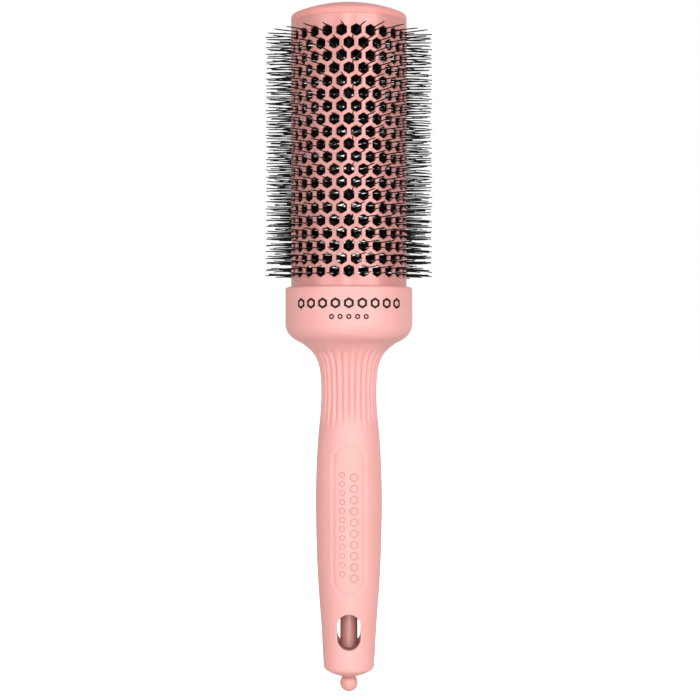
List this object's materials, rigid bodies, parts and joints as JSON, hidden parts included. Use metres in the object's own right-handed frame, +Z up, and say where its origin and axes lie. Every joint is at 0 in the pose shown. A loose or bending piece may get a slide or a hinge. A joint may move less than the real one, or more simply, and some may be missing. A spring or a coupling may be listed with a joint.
{
  "type": "round barrel hair brush",
  "caption": "Upright round styling brush: vented barrel with radial bristles, a round collar, a fluted and swelling handle, and a pin that slides out of the handle's end.",
  "frame": {"origin": "on the brush axis inside the collar's straight round band, at the holder_collar mount", "axes": "+Z up the axis from the handle towards the barrel's domed cap; -Y is the front, the side of the engraved oval; the window goes through along Y"},
  "size_m": [0.065, 0.065, 0.2678],
  "materials": {
    "barrel_coating": "pink satin ceramic coating on a thin aluminium tube",
    "cap_plastic": "pink, satin gloss",
    "hub_nylon": "black glass-filled nylon",
    "stem_wire": "galvanised twisted wire",
    "ferrule_metal": "crimped",
    "sleeve_steel": "drawn tube",
    "bristle_nylon": "black filament, fine sheen",
    "heat_ring": "dark grey silicone",
    "screw_steel": "zinc plated",
    "core_plastic": "pink, fine moulded grain",
    "grip_skin": "pink soft-touch skin",
    "guide_plastic": "rose brown, smooth",
    "bumper_rubber": "soft, black",
    "bush_plastic": "pink acetal",
    "detent_rubber": "nitrile ring",
    "pin_plastic": "pink, polished",
    "stop_metal": "turned",
    "ball_plastic": "pink, satin gloss"
  },
  "bodies": {
    "brush": {"barrel_shell": "barrel_coating", "barrel_cap": "cap_plastic", "front_hub": "hub_nylon", "rear_hub": "hub_nylon", "core_wire_1": "stem_wire", "core_wire_2": "stem_wire", "wire_ferrule": "ferrule_metal", "stem_sleeve": "sleeve_steel", "bristle_ring_01": "bristle_nylon", "bristle_ring_02": "bristle_nylon", "bristle_ring_03": "bristle_nylon", "bristle_ring_04": "bristle_nylon", "bristle_ring_05": "bristle_nylon", "bristle_ring_06": "bristle_nylon", "bristle_ring_07": "bristle_nylon", "bristle_ring_08": "bristle_nylon", "bristle_ring_09": "bristle_nylon", "bristle_ring_10": "bristle_nylon", "bristle_ring_11": "bristle_nylon", "bristle_ring_12": "bristle_nylon", "bristle_ring_13": "bristle_nylon", "bristle_ring_14": "bristle_nylon", "bristle_ring_15": "bristle_nylon", "bristle_ring_16": "bristle_nylon", "bristle_ring_17": "bristle_nylon", "bristle_ring_18": "bristle_nylon", "bristle_ring_19": "bristle_nylon", "bristle_ring_20": "bristle_nylon", "heat_break_ring": "heat_ring", "hub_screws": "screw_steel", "handle_core": "core_plastic", "handle_grip": "grip_skin", "pin_guide_tube": "guide_plastic", "pin_bumper": "bumper_rubber", "tail_bush": "bush_plastic", "detent_ring": "detent_rubber"},
    "pin": {"pin_shank": "pin_plastic", "pin_stop_ring": "stop_metal", "pin_ball": "ball_plastic"}
  },
  "joints": [
    {"name": "pin_slide", "type": "slide", "parent": "brush", "child": "pin", "axis": [0, 0, -1], "range_m": [0, 0.055]}
  ]
}
